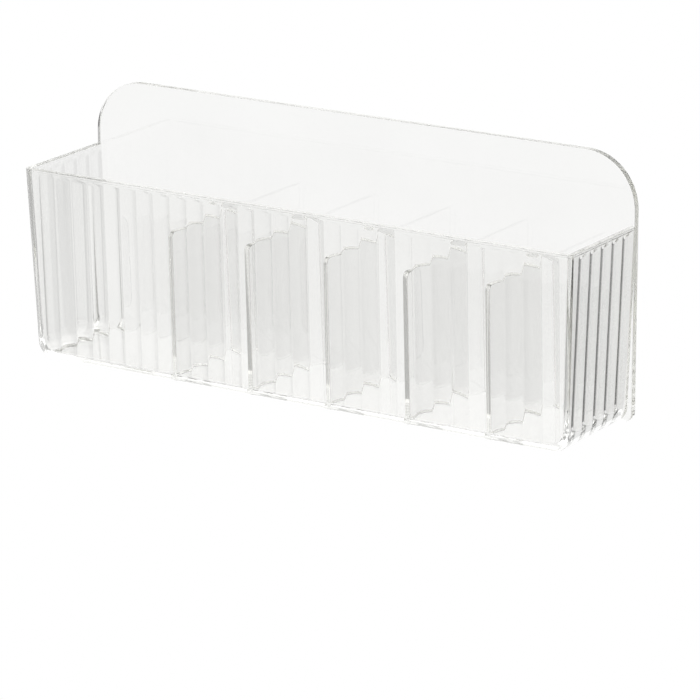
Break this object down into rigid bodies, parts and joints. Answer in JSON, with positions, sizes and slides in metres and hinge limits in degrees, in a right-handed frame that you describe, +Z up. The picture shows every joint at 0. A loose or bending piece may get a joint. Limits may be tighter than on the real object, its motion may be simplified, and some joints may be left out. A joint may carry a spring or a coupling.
{
  "type": "wall-mounted storage box",
  "caption": "Clear wall-mounted organiser box with a tall rounded back plate, reeded inner walls and lift-out dividers, held up by adhesive pads.",
  "frame": {"origin": "middle of the footprint, on the plane of the flat base", "axes": "+X along the box to the viewer's right, +Y towards the wall, +Z up"},
  "size_m": [0.19, 0.0412, 0.08],
  "materials": {
    "clear_plastic": "polished clear polystyrene",
    "divider_plastic": "polished clear polystyrene sheet",
    "pad_gel": "clear acrylic gel, slightly tacky"
  },
  "bodies": {
    "box": {"tray": "clear_plastic", "adhesive_pad_left": "pad_gel", "adhesive_pad_right": "pad_gel"},
    "divider_1": {"divider_1": "divider_plastic"},
    "divider_2": {"divider_2": "divider_plastic"},
    "divider_3": {"divider_3": "divider_plastic"},
    "divider_4": {"divider_4": "divider_plastic"},
    "divider_5": {"divider_5": "divider_plastic"}
  },
  "joints": [
    {"name": "divider_1_lift", "type": "slide", "parent": "box", "child": "divider_1", "axis": [0, 0, 1], "range_m": [0, 0.059]},
    {"name": "divider_2_lift", "type": "slide", "parent": "box", "child": "divider_2", "axis": [0, 0, 1], "range_m": [0, 0.059]},
    {"name": "divider_3_lift", "type": "slide", "parent": "box", "child": "divider_3", "axis": [0, 0, 1], "range_m": [0, 0.059]},
    {"name": "divider_4_lift", "type": "slide", "parent": "box", "child": "divider_4", "axis": [0, 0, 1], "range_m": [0, 0.059]},
    {"name": "divider_5_lift", "type": "slide", "parent": "box", "child": "divider_5", "axis": [0, 0, 1], "range_m": [0, 0.059]}
  ]
}
